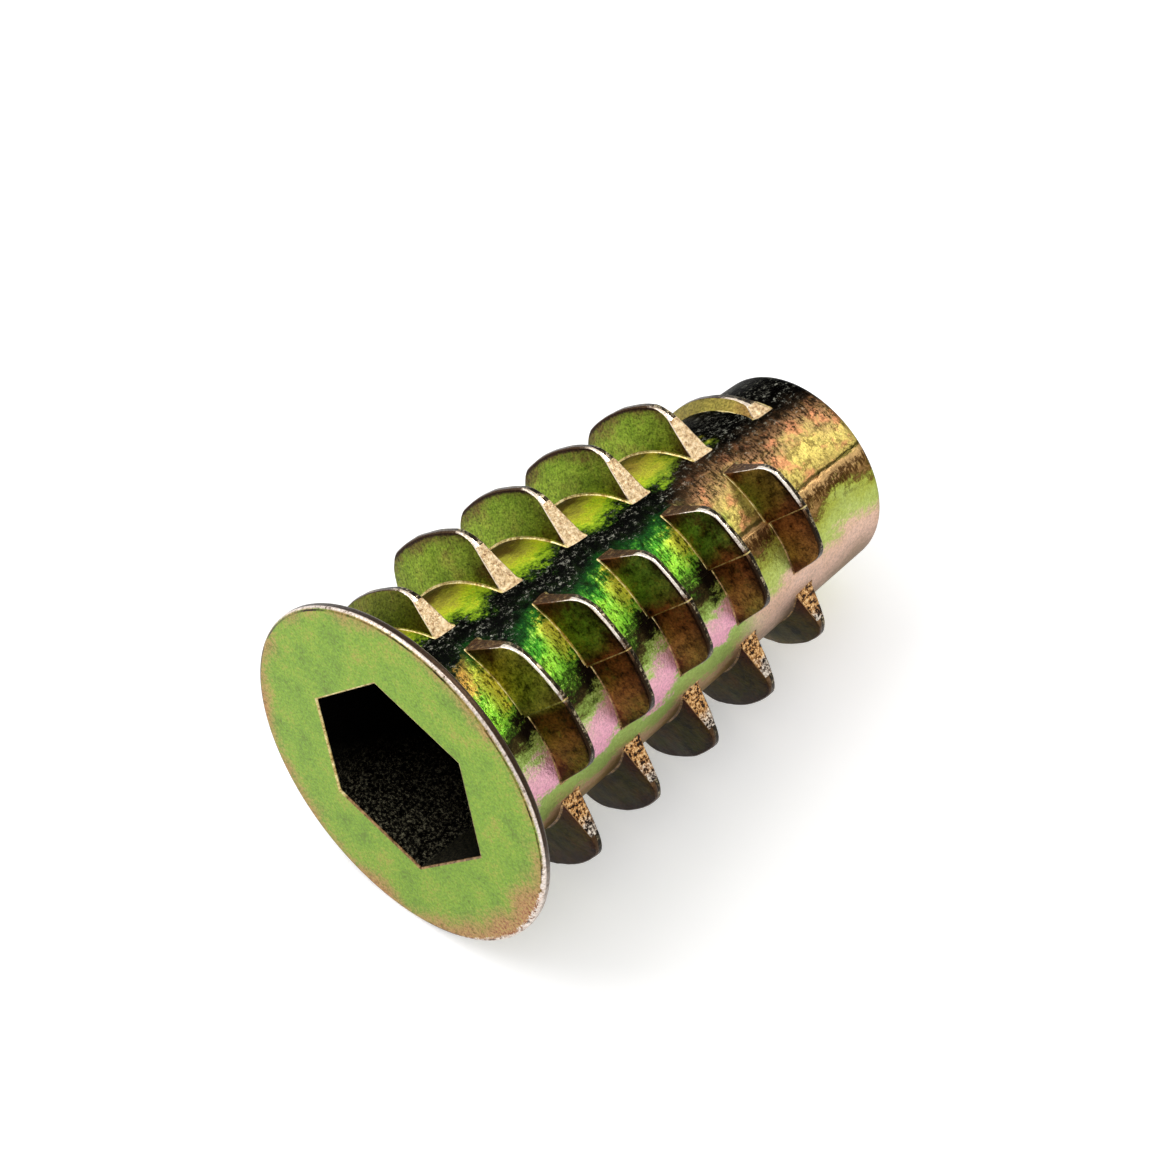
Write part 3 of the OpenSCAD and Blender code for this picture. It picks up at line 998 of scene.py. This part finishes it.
# Painted highlights: near-white bands where the crests face up, brown elsewhere.
crest = bands(
    sway(at.half, (noise(3.0, 4, 0.8), 10)), (-90, (70, 50, 32)), (-74, (80, 60, 40)),
    (-69, (255, 236, 214)), (-56, (255, 236, 214)), (-50, (90, 66, 44)), (-30, (110, 80, 52)),
    (-25, (252, 240, 224)), (-6, (253, 242, 228)), (-1, (110, 80, 54)), (4, (44, 32, 22)),
    (34, (60, 44, 30)), (56, (150, 116, 80)), (66, (74, 54, 36)), (90, (70, 50, 32)))
plated("crest_skin", crest, 0.25, 0.3, 0.5)

# %% Finish the edges and the roots
begin_skin("edge_skin")
# Painted shade: the edge behind each crest is nearly black.
colour = ramp(noise(3.5, 4, 0.85), (0.44, (26, 22, 16)), (0.54, (60, 50, 34)),
              (0.64, (190, 175, 140)))
plated("edge_skin", colour, 0.35, 0.5, 0.5)

begin_skin("root_skin")
fine = noise(4.0, 4, 0.8)
# The root lines are a painted highlight; on the lower side a duller copy stands for painted shade.
light = ramp(fine, (0.40, (150, 120, 70)), (0.50, (214, 192, 122)), (0.62, (240, 224, 170)))
root_line_in_shade = ramp(fine, (0.40, (90, 66, 44)), (0.62, (190, 150, 104)))
plated("root_skin", mix(grow(at.side, 0.03, 0.1), light, root_line_in_shade), 0.35, 0.3)

# %% [markdown]
# ## A table and soft light
#
# The insert lies on a plain white table, as small hardware does in a catalogue. The table is a
# large plane. A shadow on white paper looks lighter than it is counted, because the room behind
# the camera lights it too, so for rays from the camera and for reflections the table shines a
# little by itself. On the insert only the world and the lamps shed light.

# %% The table
begin()
bpy.ops.mesh.primitive_plane_add(size=1.2)
floor = bpy.context.object
floor.name = "floor"
table = bpy.data.materials.new("white_table")
table.use_nodes = True
floor.data.materials.append(table)
TABLE_COLOUR, TABLE_LIFT = (0.9, 0.9, 0.9, 1), 0.35


def seen():
    """1 for rays from the camera and for reflections, 0 for the light that falls on things."""
    ray = node("LightPath").outputs
    mirrored = maths("MAXIMUM", ray["Is Glossy Ray"], ray["Is Transmission Ray"])
    return maths("MAXIMUM", ray["Is Camera Ray"], mirrored)


sheet = table.node_tree
shader = sheet.nodes["Principled BSDF"]
shader.inputs["Base Color"].default_value = TABLE_COLOUR
shader.inputs["Emission Color"].default_value = (1, 1, 1, 1)
shader.inputs["Roughness"].default_value = 0.8
sheet.links.new(times(seen(), TABLE_LIFT), shader.inputs["Emission Strength"])
print("Table:", [round(side, 2) for side in floor.dimensions[:2]], "m")

# %% [markdown]
# The world is the white room: it is at full strength where the camera or a reflection sees it, and
# a little weaker where it lights things. A large softbox, high behind the insert on its left, is
# the window that gives the shadow its direction. A small lamp on the right only draws highlights
# along the crests and the rim: it is hidden from matt surfaces, so it leaves no second shadow.

# %% The room and two lamps
ROOM_LIGHT, WINDOW_W, LAMP_W = 0.80, 1.3, 0.5
world = bpy.data.worlds.new("studio")
bpy.context.scene.world = world
world.use_nodes = True
sheet = world.node_tree
room = sheet.nodes["Background"]
room.inputs["Color"].default_value = (1, 1, 1, 1)
sheet.links.new(maths("MAXIMUM", seen(), ROOM_LIGHT), room.inputs["Strength"])


def softbox(name, place, size, watts):
    begin()
    bpy.ops.object.light_add(type="AREA", location=place)
    box = bpy.context.object
    box.name = name
    box.data.size, box.data.energy = size, watts
    towards_insert = Vector((0, 0, 0.006)) - box.location
    box.rotation_euler = towards_insert.to_track_quat("-Z", "Y").to_euler()
    print(name, "stands", round(towards_insert.length, 2), "m away")
    return box


softbox("window", (-0.15, 0.32, 0.42), 0.45, WINDOW_W)
lamp = softbox("lamp", (0.22, -0.065, 0.28), 0.07, LAMP_W)
lamp.visible_diffuse = False

# %% [markdown]
# ## The camera
#
# The camera looks steeply down from the flange's side, 16 centimetres away, with a long lens, so
# that the small part shows little perspective. `to_track_quat` aims it, and it is tilted
# sideways by a few degrees.

# %% Set up the camera
CAMERA_PLACE = Vector((-72.94, -72.31, 128.35)) / 1000
CAMERA_AIM = Vector((1.03, 2.30, 6.0)) / 1000
CAMERA_TILT = math.radians(-4.13)
begin()
bpy.ops.object.camera_add(location=CAMERA_PLACE)
camera = bpy.context.object
aim = (CAMERA_AIM - CAMERA_PLACE).to_track_quat("-Z", "Y").to_matrix()
camera.rotation_euler = (aim @ Matrix.Rotation(CAMERA_TILT, 3, "Z")).to_euler()
camera.data.lens, camera.data.sensor_width = 120, 36
camera.data.clip_start, camera.data.clip_end = 0.01, 10
bpy.context.scene.camera = camera
bpy.context.scene.view_settings.view_transform = "Standard"
print("Distance:", round((CAMERA_AIM - CAMERA_PLACE).length * 1000), "mm")
